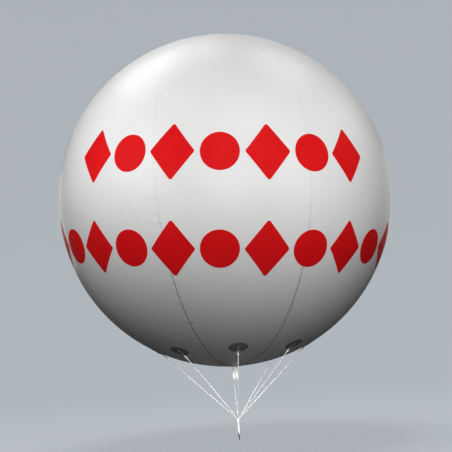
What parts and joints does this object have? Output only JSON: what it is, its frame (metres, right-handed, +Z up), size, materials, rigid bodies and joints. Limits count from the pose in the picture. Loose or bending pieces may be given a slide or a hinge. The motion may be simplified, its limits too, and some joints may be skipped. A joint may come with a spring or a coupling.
{
  "type": "spherical helium advertising balloon with bridle and swivel hook",
  "caption": "Round white helium balloon of welded film gores with red printed motifs, grey mooring patches, a bridle of cords, a tied filling neck and a swivel snap hook.",
  "frame": {"origin": "centre of the inflated sphere, where the air's lift acts", "axes": "+Z up along the axis through both poles; -Y is the front, through the middle of gore_1; +X to the right as seen from the front"},
  "size_m": [2.9874, 2.9874, 3.6407],
  "materials": {
    "film": "semi-gloss welded PVC film",
    "red_print": "gloss printed film",
    "grey_patch": "matte coated fabric",
    "webbing": "woven",
    "ring_steel": "satin",
    "cord": "braided",
    "hook_steel": "satin"
  },
  "bodies": {
    "envelope": {"gore_1": "film", "gore_2": "film", "gore_3": "film", "gore_4": "film", "gore_5": "film", "gore_6": "film", "gore_7": "film", "gore_8": "film", "mooring_patch_1": "grey_patch", "mooring_patch_2": "grey_patch", "mooring_patch_3": "grey_patch", "mooring_patch_4": "grey_patch", "mooring_patch_5": "grey_patch", "mooring_patch_6": "grey_patch", "mooring_patch_7": "grey_patch", "mooring_patch_8": "grey_patch", "mooring_strap_1": "webbing", "mooring_strap_2": "webbing", "mooring_strap_3": "webbing", "mooring_strap_4": "webbing", "mooring_strap_5": "webbing", "mooring_strap_6": "webbing", "mooring_strap_7": "webbing", "mooring_strap_8": "webbing", "mooring_ring_1": "ring_steel", "mooring_ring_2": "ring_steel", "mooring_ring_3": "ring_steel", "mooring_ring_4": "ring_steel", "mooring_ring_5": "ring_steel", "mooring_ring_6": "ring_steel", "mooring_ring_7": "ring_steel", "mooring_ring_8": "ring_steel", "bridle_cord_1": "cord", "bridle_cord_2": "cord", "bridle_cord_3": "cord", "bridle_cord_4": "cord", "bridle_cord_5": "cord", "bridle_cord_6": "cord", "bridle_cord_7": "cord", "bridle_cord_8": "cord", "top_pole_disc": "film", "bottom_pole_disc": "grey_patch", "filling_neck": "film", "neck_tie": "cord", "gathering_knot": "cord", "drop_line": "cord", "swivel_eye": "ring_steel"},
    "hook": {"hook": "hook_steel"},
    "gate": {"hook_gate": "hook_steel"}
  },
  "joints": [
    {"name": "hook_swivel", "type": "hinge", "parent": "envelope", "child": "hook", "pos_m": [0, 0, -2.0984], "axis": [0, 0, 1], "continuous": true},
    {"name": "hook_gate_hinge", "type": "hinge", "parent": "hook", "child": "gate", "pos_m": [0, 0.0095, -2.1119], "axis": [-1, 0, 0], "range_deg": [0, 35], "stiffness_Nm_per_rad": 0.02}
  ]
}
